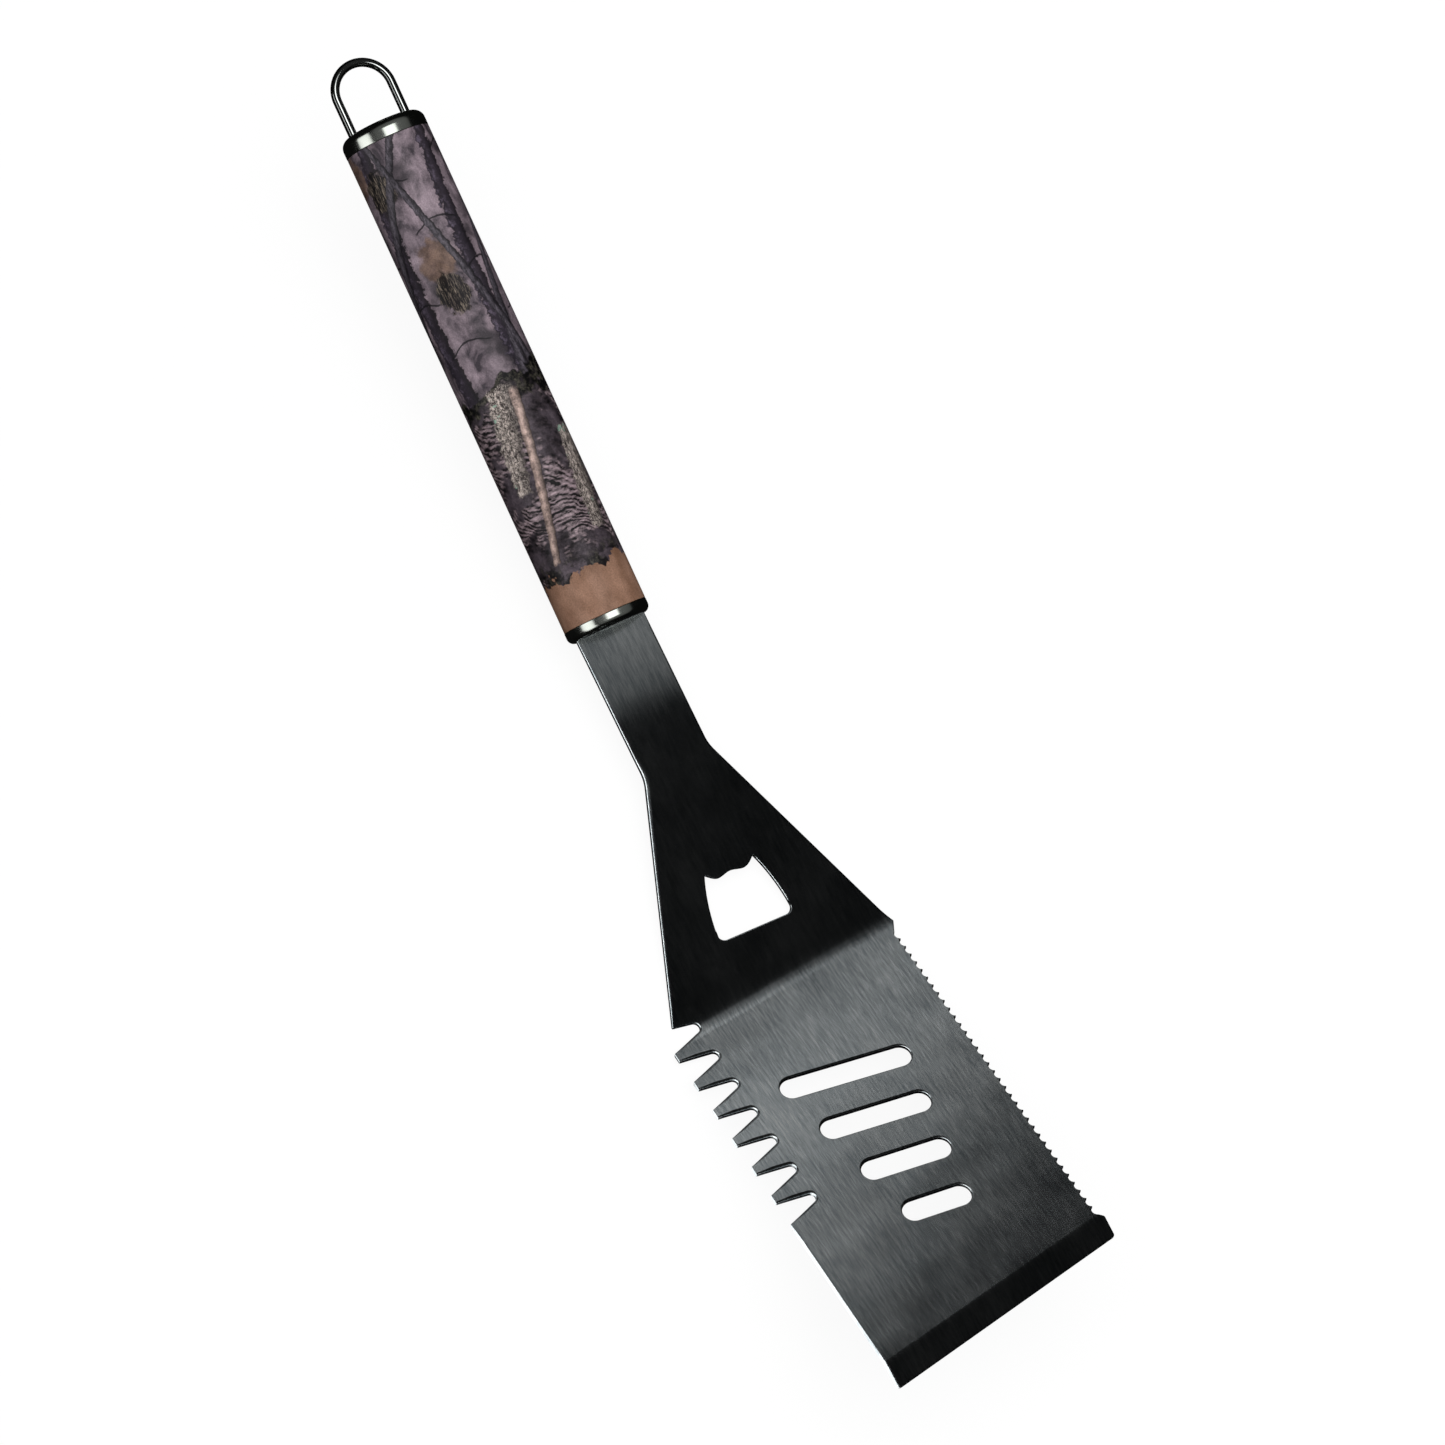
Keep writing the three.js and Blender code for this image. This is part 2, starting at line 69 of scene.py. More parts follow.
# ---- Sizes shared with the CAD part -------------------------------------------------
SHEET, CLEARANCE = 1.8, 0.3
NECK_WIDTH = 24.4
NECK_END_LEFT, NECK_END_RIGHT, FLARE_FILLET = 48.3, 45.9, 14.0
FLARE_LEFT, FLARE_RIGHT = 20.4, 21.1  # degrees from the neck's edges
BLADE_LEFT, BLADE_RIGHT = -43.5, 41.3
TIP_AT, TIP_SKEW, TIP_CORNER = 258.0, 8.5, 1.2
TANG_WIDTH, TANG_END, TANG_SHOULDER = 14.0, -104.0, -0.8
RIVETS_AT, RIVET_HOLE = (-32.0, -86.0), 2.3
TOOTH_COUNT, TOOTH_FIRST, TOOTH_PITCH, TOOTH_TIP = 6, 130.4, 11.7, 3.0
NOTCH_APEX_BACK, NOTCH_APEX_DEPTH, NOTCH_RADIUS, NOTCH_MOUTH_RADIUS = 5.54, 17.1, 1.75, 0.35
SERRATION_COUNT, SERRATION_FIRST, SERRATION_PITCH = 36, 124.9, 3.3
SERRATION_DEPTH, SERRATION_INSET = 1.1, 1.5
SERRATION_SHOULDER, SERRATION_SHOULDER_RADIUS = 244.9, 0.8
SLOT_COUNT, SLOT_FIRST, SLOT_PITCH, SLOT_OFFSET = 4, 162.0, 17.95, -0.65
SLOT_LENGTH, SLOT_SHRINK, SLOT_WIDTH = 43.0, 6.85, 7.6
SLOT_SLANT, SLOT_FAN = 10.4, 0.6
OPENER_EAR, OPENER_TAB, OPENER_LIP = (83.5, 8.7), (85.9, 5.0), 85.1
OPENER_SIDE, OPENER_BASE, OPENER_CORNER = (93.0, 12.6), (104.7, 13.3), 2.4
OPENER_CENTRE, OPENER_TURN = 0.4, 1.5
# place on the centre line, turn from square, angle, radius
BENDS = ((-3.5, 0.0, 4.35, 30.0), (122.4, 4.4, 25.9, 20.0), (250.2, 8.2, -20.0, 6.0))
HANDLE_LENGTH, HANDLE_RADIUS = 174.0, 14.0
FRONT_BAND, REAR_BAND, CAP_DEPTH, CAP_FACE = 4.2, 6.0, 12.0, 1.0
FRONT_RIM, REAR_RIM = 2.3, 3.3
SKIRT_OUTER, SKIRT_INNER = 12.45, 11.75
NECK_SLOT_EASE, WIRE_CLEARANCE, SLEEVE_WALL = 0.2, 0.2, 0.35
WIRE, LOOP_SPACING, LOOP_REACH, LOOP_LEG_INSIDE = 2.9, 19.1, 21.2, 12.0

PRINT_FRONT = math.radians(-19.9)  # the print's middle faces the camera

# ---- Stamped edges: the punch rolls the food side over and leaves the other side square ---
ROLL_WIDTH, ROLL_DEPTH, BURR = 1.0, 0.7, 0.14
ROLL_STEPS, BURR_STEPS = 7, 3
ROLL_TO_RADIUS = 0.85   # widest roll that fits round a corner, over the corner's radius
NECK_CORNER_ROLL = 1.7  # the roll is widest where the neck starts to flare
OPENING_ROLL = 0.5      # share of the full roll around openings
SERRATION_ROLL = 0.3    # and along the serrations
CORNER_STEPS, CAP_SIDES = 8, 192


# ---- Folding the flat pattern -------------------------------------------------------
def over_bend(point, bend):
    """Carries a point of the flat pattern over one bend."""
    at, skew, angle, radius = bend
    turn, side, angle = math.radians(skew), math.copysign(1, angle), math.radians(abs(angle))
    x, y, z = point
    across = (x - at) * math.cos(turn) + y * math.sin(turn)
    along = -(x - at) * math.sin(turn) + y * math.cos(turn)
    start = -radius * angle / 2
    run = across - start
    if run <= 0:
        return point
    swept = min(run / radius, angle)
    beyond = max(run - radius * angle, 0)
    lever = radius - side * z
    ahead = start + lever * math.sin(swept) + beyond * math.cos(angle)
    up = radius - lever * math.cos(swept) + beyond * math.sin(angle)
    return (
        at + ahead * math.cos(turn) - along * math.sin(turn),
        ahead * math.sin(turn) + along * math.cos(turn),
        side * up,
    )


def folded(s, t, z=0.0):
    point = (s, t, z)
    for bend in reversed(BENDS):
        point = over_bend(point, bend)
    return Vector(point)


def handle_to_part():
    """The matrix, in millimetres, from the handle's frame to the part's."""
    foot = Vector((-FRONT_RIM, 0, -HANDLE_RADIUS))
    at, skew = BENDS[1][:2]
    heels = [folded(at - t * math.tan(math.radians(skew)), t, -SHEET / 2) - foot for t in (-30, 30)]
    turn = heels[0].cross(heels[1]).normalized().rotation_difference(Vector((0, 0, 1))).to_matrix()
    low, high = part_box("handle_tube")
    middle = (Vector(low) + Vector(high)) / 2 / MM
    tube_middle = -(HANDLE_LENGTH + FRONT_BAND - REAR_BAND) / 2
    shift = middle - turn @ Vector((tube_middle, 0, 0))
    return Matrix.Translation(shift) @ turn.to_4x4()


PLACE = Matrix.Scale(MM, 4) @ handle_to_part()
TURN = PLACE.to_3x3().normalized()


# ---- Mesh helpers -------------------------------------------------------------------
def new_object(name, mesh, material):
    mesh.materials.append(material)
    piece = bpy.data.objects.new(name, mesh)
    bpy.context.scene.collection.objects.link(piece)
    return piece


def as_mesh(bm, name):
    mesh = bpy.data.meshes.new(name)
    bm.to_mesh(mesh)
    bm.free()
    return mesh


def stand_for(piece, node):
    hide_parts(node)
    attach(piece, "root")


def arc(cx, cy, radius, start, end, steps):
    angles = [math.radians(start + (end - start) * k / steps) for k in range(steps + 1)]
    return [(cx + radius * math.cos(a), cy + radius * math.sin(a)) for a in angles]


def rounded(corners):
    """A closed chain of (s, t, radius, widest roll or 1) corners, each rounded by a tangent arc.

    Each result is a point with the share of the full edge roll that fits there.
    """
    points = []
    for i, (s, t, radius, *widest) in enumerate(corners):
        here = Vector((s, t))
        if not radius:
            points.append((here, 1.0))
            continue
        before, after = Vector(corners[i - 1][:2]), Vector(corners[(i + 1) % len(corners)][:2])
        back, ahead = (before - here).normalized(), (after - here).normalized()
        half = back.angle(ahead) / 2
        centre = here + (back + ahead).normalized() * radius / math.sin(half)
        first = here + back * radius / math.tan(half) - centre
        last = here + ahead * radius / math.tan(half) - centre
        sweep = math.atan2(first.cross(last), first.dot(last))
        share = min(*(widest or [1.0]), ROLL_TO_RADIUS * radius / ROLL_WIDTH)
        for k in range(CORNER_STEPS + 1):
            spot = Matrix.Rotation(sweep * k / CORNER_STEPS, 2) @ first + centre
            points.append((spot, share))
    return points


def with_steps(chain, longest=6.0):
    """Adds full-roll points along the straight runs of a closed chain; a wider roll tapers to them."""
    result = []
    for (here, share), (after, _) in zip(chain, [*chain[1:], chain[0]]):
        result.append((here, share))
        pieces = math.ceil((after - here).length / longest)
        for k in range(1, pieces):
            result.append((here.lerp(after, k / pieces), max(1.0, share * (1 - k / pieces))))
    return result


def smooth_by_angle(mesh, degrees=32):
    for face in mesh.polygons:
        face.use_smooth = True
    mesh.set_sharp_from_angle(angle=math.radians(degrees))


def turned(name, profile, sides, material):
    """Body of revolution about X; the profile is a closed or axis-ended list of (radius, x)."""
    bm = bmesh.new()
    rings = []
    for radius, x in profile:
        if radius == 0:
            rings.append([bm.verts.new((x, 0, 0))])
            continue
        angles = [2 * math.pi * k / sides for k in range(sides)]
        rings.append([bm.verts.new((x, radius * math.sin(a), radius * math.cos(a))) for a in angles])
    for one, two in zip(rings, rings[1:]):
        for k in range(sides):
            n = (k + 1) % sides
            if len(one) == 1:
                bm.faces.new((one[0], two[k], two[n]))
            elif len(two) == 1:
                bm.faces.new((one[k], two[0], one[n]))
            else:
                bm.faces.new((one[k], two[k], two[n], one[n]))
    bmesh.ops.remove_doubles(bm, verts=bm.verts, dist=1e-5)
    bmesh.ops.recalc_face_normals(bm, faces=bm.faces)
    return new_object(name, as_mesh(bm, name), material)


def cut(piece, cutters):
    """Cuts the cutters out of the piece and keeps the result in its mesh."""
    for cutter in cutters:
        step = piece.modifiers.new("cut", "BOOLEAN")
        step.object, step.operation, step.solver = cutter, "DIFFERENCE", "EXACT"
    evaluated = piece.evaluated_get(bpy.context.evaluated_depsgraph_get())
    mesh = bpy.data.meshes.new_from_object(evaluated)
    piece.modifiers.clear()
    piece.data = mesh
    for cutter in cutters:
        bpy.data.objects.remove(cutter)


def finish_piece(piece, degrees=32):
    """Carries a piece drawn in the handle's frame to the part's frame and shades it."""
    piece.data.transform(PLACE)
    smooth_by_angle(piece.data, degrees)
    weighted = piece.modifiers.new("even shading", "WEIGHTED_NORMAL")
    weighted.keep_sharp = True


# ---- Node helpers -------------------------------------------------------------------
class Net:
    """A material's node tree, with short calls for the nodes that these finishes use."""

    def __init__(self, name):
        self.material = bpy.data.materials.new(name)
        self.material.use_nodes = True
        self.tree = self.material.node_tree
        self.shader = self.tree.nodes["Principled BSDF"]

    def node(self, kind, inputs=(), output=0, **settings):
        node = self.tree.nodes.new(kind)
        for key, value in settings.items():
            setattr(node, key, value)
        for key, value in dict(inputs).items():
            self.feed(node.inputs[key], value)
        return node.outputs[output]

    def feed(self, socket, value):
        if isinstance(value, bpy.types.NodeSocket):
            self.tree.links.new(value, socket)
        else:
            socket.default_value = value

    def set(self, **values):
        for key, value in values.items():
            self.feed(self.shader.inputs[key.replace("_", " ")], value)

    def math(self, operation, a, b=0.0):
        return self.node("ShaderNodeMath", {0: a, 1: b}, operation=operation)

    def clamp01(self, a):
        return self.node("ShaderNodeClamp", {0: a})

    def step(self, value, low, high):
        """0 at low, 1 at high, smooth between."""
        inputs = {"Value": value, "From Min": low, "From Max": high}
        return self.node("ShaderNodeMapRange", inputs, interpolation_type="SMOOTHSTEP")

    def spread(self, value, low, high, to_low, to_high):
        inputs = {"Value": value, "From Min": low, "From Max": high, "To Min": to_low, "To Max": to_high}
        return self.node("ShaderNodeMapRange", inputs)

    def vector(self, x, y):
        return self.node("ShaderNodeCombineXYZ", {0: x, 1: y})

    def noise(self, vector, scale, detail=3.0, roughness=0.55, distortion=0.0, seed=0.0):
        inputs = {
            "Vector": vector, "W": seed, "Scale": scale, "Detail": detail,
            "Roughness": roughness, "Distortion": distortion,
        }
        return self.node("ShaderNodeTexNoise", inputs, noise_dimensions="4D")

    def mix(self, share, a, b):
        inputs = {0: share, 6: a, 7: b}
        return self.node("ShaderNodeMix", inputs, output=2, data_type="RGBA")

    def bump(self, height, strength, distance):
        inputs = {"Height": height, "Strength": strength, "Distance": distance}
        return self.node("ShaderNodeBump", inputs)

    def curve(self, value, points):
        """A smooth curve through (input, output) points, both from 0 to 1."""
        node = self.tree.nodes.new("ShaderNodeFloatCurve")
        line = node.mapping.curves[0]
        for spot, place in zip(line.points, (points[0], points[-1])):
            spot.location = place
        for place in points[1:-1]:
            line.points.new(*place)
        node.mapping.update()
        self.feed(node.inputs["Value"], value)
        return node.outputs[0]


def srgb(red, green, blue):
    def linear(value):
        value /= 255
        return value / 12.92 if value <= 0.04045 else ((value + 0.055) / 1.055) ** 2.4
    return (linear(red), linear(green), linear(blue), 1.0)


def flat_coordinates(net):
    """The flat pattern's s and t, in millimetres, from the sheet's UV map."""
    uv = net.node("ShaderNodeTexCoord", output=2)
    parts = net.tree.nodes.new("ShaderNodeSeparateXYZ")
    net.feed(parts.inputs[0], uv)
    return net.math("MULTIPLY", parts.outputs[0], 1000), net.math("MULTIPLY", parts.outputs[1], 1000)


# ---- Materials ----------------------------------------------------------------------
def brushed_sheet():
    """Stainless sheet, brushed along its length, slightly wavy, with faint handling marks."""
    net = Net("brushed_sheet")
    s, t = flat_coordinates(net)
    along, across = net.math("MULTIPLY", s, 0.12), net.math("MULTIPLY", t, 1.3)
    hair = net.noise(net.vector(along, across), 1.0, 4.0, 0.75)
    along, across = net.math("MULTIPLY", s, 0.03), net.math("MULTIPLY", t, 0.5)
    streak = net.noise(net.vector(along, across), 1.0, 3.0, 0.6)
    cloud = net.noise(net.vector(s, t), 0.045, 4.0, 0.6)
    lines = net.math("ADD", net.math("MULTIPLY", hair, 0.85), net.math("MULTIPLY", streak, 0.15))
    clouded = net.math("ADD", lines, net.spread(cloud, 0.3, 0.7, -0.08, 0.08))
    tone = net.spread(clouded, 0.36, 0.64, 0.0, 1.0)
    rough, uneven = net.spread(lines, 0.3, 0.7, 0.21, 0.24), net.spread(cloud, 0.3, 0.7, -0.02, 0.02)
    wave = net.math("ADD", net.math("MULTIPLY", hair, 0.01), net.noise(net.vector(s, t), 0.05, 1.0, 0.5))
    net.set(
        Base_Color=net.mix(tone, srgb(153, 162, 166), srgb(212, 217, 218)),
        Metallic=1.0,
        Roughness=net.math("ADD", rough, uneven),
        Anisotropic=0.75,
        Anisotropic_Rotation=0.25,
        Tangent=net.node("ShaderNodeTangent", direction_type="UV_MAP"),
        Normal=net.bump(wave, 0.4, 0.0006),
    )
    return net.material


def polished_metal(name, light, dark, roughness, relief=0.03):
    net = Net(name)
    place = net.node("ShaderNodeTexCoord", output=3)
    haze = net.noise(place, 90.0, 3.0, 0.6)
    scratch = net.noise(place, 900.0, 2.0, 0.5)
    net.set(
        Base_Color=net.mix(net.spread(haze, 0.35, 0.65, 0.0, 1.0), dark, light),
        Metallic=1.0,
        Roughness=net.spread(haze, 0.3, 0.7, roughness * 0.8, roughness * 1.3),
        Normal=net.bump(scratch, relief, 0.00003),
    )
    return net.material


def plain_metal(name, light, dark, roughness):
    net = Net(name)
    place = net.node("ShaderNodeTexCoord", output=3)
    grain = net.noise(place, 500.0, 4.0, 0.6)
    net.set(
        Base_Color=net.mix(net.spread(grain, 0.3, 0.7, 0.0, 1.0), dark, light),
        Metallic=1.0,
        Roughness=net.spread(grain, 0.3, 0.7, roughness * 0.85, roughness * 1.2),
    )
    return net.material


def moulded_plastic():
    net = Net("moulded_plastic")
    place = net.node("ShaderNodeTexCoord", output=3)
    grain = net.noise(place, 1400.0, 3.0, 0.6)
    net.set(
        Base_Color=net.mix(net.spread(grain, 0.3, 0.7, 0.0, 1.0), srgb(26, 27, 28), srgb(48, 48, 50)),
        Roughness=net.spread(grain, 0.3, 0.7, 0.5, 0.7),
        Normal=net.bump(grain, 0.2, 0.0001),
    )
    return net.material


class Print:
    """Draws with nodes on the unrolled sleeve: a along it from the front cap, h around it, in mm."""

    LENGTH, HALF_GIRTH = 165.0, 50.0

    def __init__(self, net):
        self.net = net
        self.a, self.h = flat_coordinates(net)
        self.grids = {
            ratio: net.vector(self.a, net.math("MULTIPLY", self.h, ratio)) for ratio in (0.3, 1, 1.6, 3, 6)
        }
        self.picture = None

    def field(self, size, ratio=1, detail=4.0, roughness=0.6, seed=0.0, distortion=0.0):
        """Noise, most of it from 0.3 to 0.7, with cells size mm long and size / ratio mm wide."""
        return self.net.noise(self.grids[ratio], 1 / size, detail, roughness, distortion, seed)

    def wander(self, value, size, reach, seed):
        """The value pushed about by noise, so that printed edges look grown."""
        push = self.net.spread(self.field(size, 1, 3.0, 0.6, seed), 0.25, 0.75, -reach, reach)
        return self.net.math("ADD", value, push)

    def across(self, points):
        """h as a smooth function of a."""
        net = self.net
        dots = [(a / self.LENGTH, 0.5 + h / (2 * self.HALF_GIRTH)) for a, h in sorted(points)]
        line = net.curve(net.math("DIVIDE", self.a, self.LENGTH), dots)
        return net.spread(line, 0, 1, -self.HALF_GIRTH, self.HALF_GIRTH)

    def ahead(self, points):
        """a as a smooth function of h."""
        net = self.net
        dots = [(0.5 + h / (2 * self.HALF_GIRTH), a / self.LENGTH) for h, a in sorted(points)]
        line = net.curve(net.spread(self.h, -self.HALF_GIRTH, self.HALF_GIRTH, 0, 1), dots)
        return net.math("MULTIPLY", line, self.LENGTH)

    def half_width(self, points):
        net = self.net
        dots = [(a / self.LENGTH, width / 10) for a, width in sorted(points)]
        return net.math("MULTIPLY", net.curve(net.math("DIVIDE", self.a, self.LENGTH), dots), 10)

    def branch(self, centre, widths, ends, ragged=0.35, seed=1.0):
        """(mask, side from -1 to 1) of a limb that runs along the sleeve between its ends."""
        net = self.net
        h = self.wander(self.h, 2.2, ragged, seed)
        offset = net.math("DIVIDE", net.math("SUBTRACT", h, self.across(centre)), self.half_width(widths))
        mask = net.step(net.math("ABSOLUTE", offset), 1.12, 0.88)
        a = self.wander(self.a, 1.5, 0.8, seed + 3)
        mask = net.math("MULTIPLY", mask, net.step(a, ends[0] - 0.6, ends[0] + 0.6))
        return net.math("MULTIPLY", mask, net.step(a, ends[1] + 0.6, ends[1] - 0.6)), offset

    def twig(self, line, half, ends, seed=2.0):
        """Mask of a thin limb that runs around the sleeve between its ends."""
        net = self.net
        a = self.wander(self.a, 3.0, 0.4, seed)
        offset = net.math("ABSOLUTE", net.math("SUBTRACT", a, self.ahead(line)))
        mask = net.step(offset, half * 1.5, half * 0.6)
        mask = net.math("MULTIPLY", mask, net.step(self.h, ends[0] - 0.8, ends[0] + 0.8))
        return net.math("MULTIPLY", mask, net.step(self.h, ends[1] + 0.8, ends[1] - 0.8))

    def blob(self, a, h, reach_a, reach_h, seed, soft=0.35):
        """Ragged patch: 1 inside, 0 outside."""
        net = self.net
        x = net.math("DIVIDE", net.math("SUBTRACT", self.wander(self.a, 4.0, 2.5, seed), a), reach_a)
        y = net.math("DIVIDE", net.math("SUBTRACT", self.wander(self.h, 4.0, 2.0, seed + 5), h), reach_h)
        distance = net.math("SQRT", net.math("ADD", net.math("MULTIPLY", x, x), net.math("MULTIPLY", y, y)))
        return net.step(distance, 1 + soft, 1 - soft)

    def paint(self, mask, colour, strength=1.0):
        share = mask if strength == 1.0 else self.net.math("MULTIPLY", mask, strength)
        self.picture = self.net.mix(share, self.picture, colour)

    def tone(self, value, low, high, dark, light):
        return self.net.mix(self.net.spread(value, low, high, 0.0, 1.0), dark, light)

    def rounded_limb(self, side, grain, dark, light):
        """Colour of a limb: grained, lit from the left and dark at its edges."""
        net = self.net
        from_ridge = net.math("ABSOLUTE", net.math("ADD", side, 0.25))
        lit = net.math("SUBTRACT", 0.75, net.math("MULTIPLY", from_ridge, 0.6))
        value = net.math("MULTIPLY", lit, net.spread(grain, 0.3, 0.7, 0.35, 1.5))
        return net.mix(net.clamp01(value), dark, light)


def woodland_print():
    """Satin film with a made-up woodland: every piece of it is placed by a plain rule."""
    net = Net("woodland_print")
    art = Print(net)

    mist = art.field(9, 1.6, 5, 0.6, 0.0, 0.6)
    art.picture = art.tone(mist, 0.36, 0.64, srgb(58, 52, 58), srgb(150, 134, 143))
    art.paint(net.step(art.field(18, 1, 4, 0.55, 4.0), 0.48, 0.64), srgb(34, 32, 36), 0.85)
    earth = art.tone(art.field(5, 1, 5, 0.65, 6.0), 0.36, 0.64, srgb(72, 55, 46), srgb(126, 101, 86))
    for i in range(4):
        art.paint(art.blob(105 + 17 * i, (31 * i) % 80 - 32, 7, 6, 7.0 + i, 0.2), earth, 0.85)

    # Far trunks, evenly spaced around the sleeve
    for i in range(4):
        h, seed = 21.8 * i - 33, 11.0 + i
        line = ((0, h - 2), (55, h + 1.5), (110, h - 1.5), (165, h + 2))
        mask, side = art.branch(line, ((0, 3.6), (165, 2.4)), (-5, 170), 1.6, seed)
        plates = net.spread(art.field(2.2, 1, 4, 0.7, seed), 0.47, 0.64, 0.2, 0.7)
        art.paint(mask, art.rounded_limb(side, plates, srgb(9, 8, 10), srgb(92, 83, 98)), 0.95)

    for i in range(10):
        a, h = 84 + 8 * i, (27 * i) % 64 - 38
        line = ((-50, a - 6), (h, a), (h + 7, a + 3), (h + 15, a + 1), (50, a - 8))
        art.paint(art.twig(line, 0.28, (h, h + 15)), srgb(20, 19, 22), 0.9)

    needles = art.tone(art.field(3.4, 6, 5, 0.75, 31.0, 1.0), 0.5, 0.7, srgb(8, 7, 7), srgb(146, 132, 118))
    for i in range(4):
        art.paint(art.blob(92 + 19 * i, (35 * i) % 78 - 36, 7, 5, 32.0 + i, 0.12), needles, 0.95)

    # Near limbs, which lean across the trunks
    limb_grain = net.spread(art.field(2.0, 3, 5, 0.72, 21.0), 0.38, 0.64, 0.22, 0.72)
    for begin, lean, width, seed in ((-38, 40, 2.6, 22.0), (-2, 34, 2.2, 23.0), (36, -44, 1.9, 24.0)):
        line = ((0, begin), (60, begin + 0.32 * lean), (115, begin + 0.6 * lean - 3), (165, begin + lean))
        mask, side = art.branch(line, ((0, 1.3 * width), (165, 0.5 * width)), (60, 170), 0.5, seed)
        art.paint(mask, art.rounded_limb(side, limb_grain, srgb(8, 8, 10), srgb(100, 94, 103)), 0.98)

    # Moss, then bark and dark undergrowth, nearer the front cap
    moss = art.tone(art.field(2.0, 1, 5, 0.75, 43.0), 0.49, 0.7, srgb(6, 6, 6), srgb(92, 88, 78))
    height = net.math("SUBTRACT", art.wander(art.a, 14.0, 12.0, 44.0), 80)
    art.paint(net.step(height, 0.8, -0.8), moss)
    swell = net.spread(art.field(24, 1, 2, 0.5, 41.0), 0.3, 0.7, -5.0, 5.0)
    ripple = net.spread(art.field(5, 1, 4, 0.6, 42.0), 0.3, 0.7, -1.2, 1.2)
    slant = net.math("ADD", art.a, net.math("MULTIPLY", art.h, 0.4))
    wavy = net.math("ADD", net.math("ADD", slant, swell), ripple)
    lines = net.math("SINE", net.math("MULTIPLY", wavy, 3.2))
    crumble = net.spread(art.field(1.6, 0.3, 5, 0.75, 40.0), 0.3, 0.7, -0.8, 0.9)
    ridges = net.math("ADD", net.spread(lines, -1, 1, 0.0, 0.62), crumble)
    bark = art.tone(ridges, 0.05, 1.15, srgb(9, 8, 9), srgb(168, 148, 154))
    art.paint(net.step(height, -5.0, -8.0), bark)
    gloom = art.tone(art.field(7, 1, 5, 0.65, 47.0), 0.4, 0.68, srgb(9, 8, 10), srgb(92, 82, 90))
    patches = net.step(art.field(15, 1, 4, 0.6, 48.0), 0.46, 0.52)
    art.paint(net.math("MULTIPLY", net.step(height, -3.0, -6.0), patches), gloom, 0.95)

    # Pale logs with lichen, in two staggered rows, and sticks across them
    plates = art.field(1.5, 1.6, 6, 0.75, 61.0, 0.5)
    cracks = net.math("ABSOLUTE", net.math("SUBTRACT", art.field(2.4, 1.6, 5, 0.7, 62.0, 0.8), 0.5))
    pale = art.tone(plates, 0.4, 0.62, srgb(62, 54, 53), srgb(214, 200, 191))
    pale = net.mix(net.step(cracks, 0.04, 0.008), pale, srgb(18, 15, 15))
    lichen = net.step(art.field(3.2, 1, 4, 0.6, 63.0), 0.62, 0.66)
    pale = net.mix(net.math("MULTIPLY", lichen, 0.8), pale, srgb(132, 168, 150))
    for i in range(4):
        h, low = 22 * i - 30, 26 + 18 * (i % 2)
        line = ((0, h - 6), (40, h), (80, h + 8), (165, h + 30))
        widths = ((0, 2.2), (low, 2.6), (low + 24, 4.2), (165, 3))
        mask, side = art.branch(line, widths, (low, low + 34), 1.4, 64.0 + i)
        art.paint(mask, net.mix(net.spread(side, -0.1, 1.0, 0.0, 0.8), pale, srgb(36, 31, 31)))
    stick_grain = net.spread(art.field(2.6, 1, 5, 0.7, 71.0), 0.38, 0.62, 0.28, 0.72)
    for i in range(3):
        h = 29 * i - 36
        line = ((0, h - 6), (45, h + 6), (90, h + 12), (165, h + 16))
        mask, side = art.branch(line, ((0, 1.0), (45, 1.5), (165, 1.6)), (20, 76), 0.3, 72.0 + i)
        art.paint(mask, art.rounded_limb(side, stick_grain, srgb(44, 35, 33), srgb(196, 170, 160)))

    # Bare ground at the front cap
    rise = net.math("SUBTRACT", art.wander(art.a, 9.0, 6.0, 81.0), 15)
    tufts = net.step(art.field(4, 1, 3, 0.6, 82.0), 0.42, 0.52)
    art.paint(net.math("MULTIPLY", net.step(rise, 9.0, 2.0), tufts), moss, 0.9)
    ground = art.tone(art.field(12, 1.6, 5, 0.6, 83.0), 0.36, 0.66, srgb(122, 90, 71), srgb(160, 124, 104))
    art.paint(net.step(rise, 0.3, -0.3), ground)

    fleck = art.field(0.5, 1, 2, 0.5, 91.0)
    net.set(
        Base_Color=net.mix(net.spread(fleck, 0.35, 0.65, 0.0, 0.3), art.picture, srgb(24, 22, 24)),
        Roughness=net.spread(fleck, 0.3, 0.7, 0.36, 0.46),
        Specular_IOR_Level=0.18,
        Normal=net.bump(art.field(1.4, 1, 3, 0.5, 92.0), 0.06, 0.0001),
    )
    return net.material


BRUSHED = brushed_sheet()
CAP_METAL = polished_metal("cap_metal", srgb(208, 212, 204), srgb(188, 193, 186), 0.16)
WIRE_METAL = polished_metal("wire_metal", srgb(200, 204, 202), srgb(176, 180, 178), 0.1, 0.001)
TUBE_METAL = plain_metal("tube_metal", srgb(190, 192, 194), srgb(165, 168, 170), 0.35)
RIVET_METAL = plain_metal("rivet_metal", srgb(196, 198, 200), srgb(170, 172, 174), 0.3)
PLASTIC = moulded_plastic()
PRINT = woodland_print()


